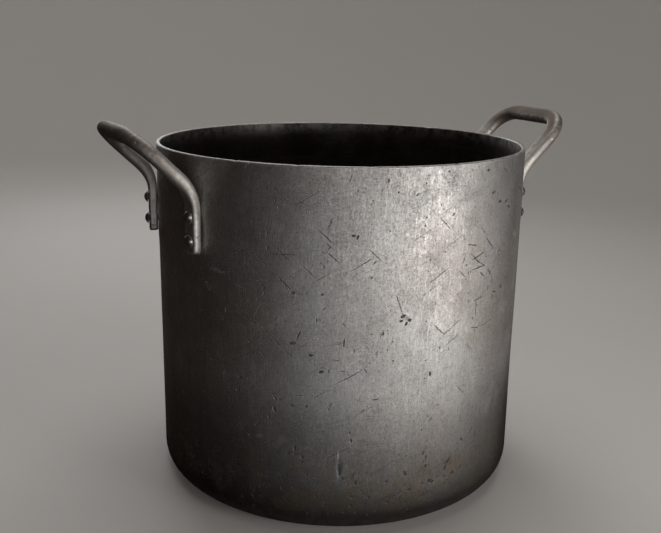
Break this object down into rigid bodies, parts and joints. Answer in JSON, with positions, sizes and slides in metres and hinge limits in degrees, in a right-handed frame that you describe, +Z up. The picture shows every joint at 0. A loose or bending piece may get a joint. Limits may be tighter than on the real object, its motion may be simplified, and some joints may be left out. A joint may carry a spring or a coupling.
{
  "type": "stockpot",
  "caption": "Tall round open aluminium stockpot with straight walls, a rounded bottom edge and riveted bar loop handles that slope up above the rim.",
  "frame": {"origin": "on the pot's axis, on the flat underside that it stands on", "axes": "+Z up through the mouth; the handles point along -X (left) and +X (right); the front of the pot faces -Y"},
  "size_m": [0.3929, 0.3, 0.2994],
  "materials": {
    "shell": "satin bare aluminium, worn, with fine scratches, small pits and brown heat stains towards the bottom",
    "handles": "cast-looking bare aluminium bar, worn smooth on its edges, with small pits",
    "rivets": "hammered soft aluminium, polished by wear on the crown"
  },
  "bodies": {
    "root": {"pot_body": "shell", "left_handle": "handles", "right_handle": "handles", "left_front_upper_rivet": "rivets", "left_front_lower_rivet": "rivets", "left_rear_upper_rivet": "rivets", "left_rear_lower_rivet": "rivets", "right_front_upper_rivet": "rivets", "right_front_lower_rivet": "rivets", "right_rear_upper_rivet": "rivets", "right_rear_lower_rivet": "rivets"}
  },
  "joints": []
}
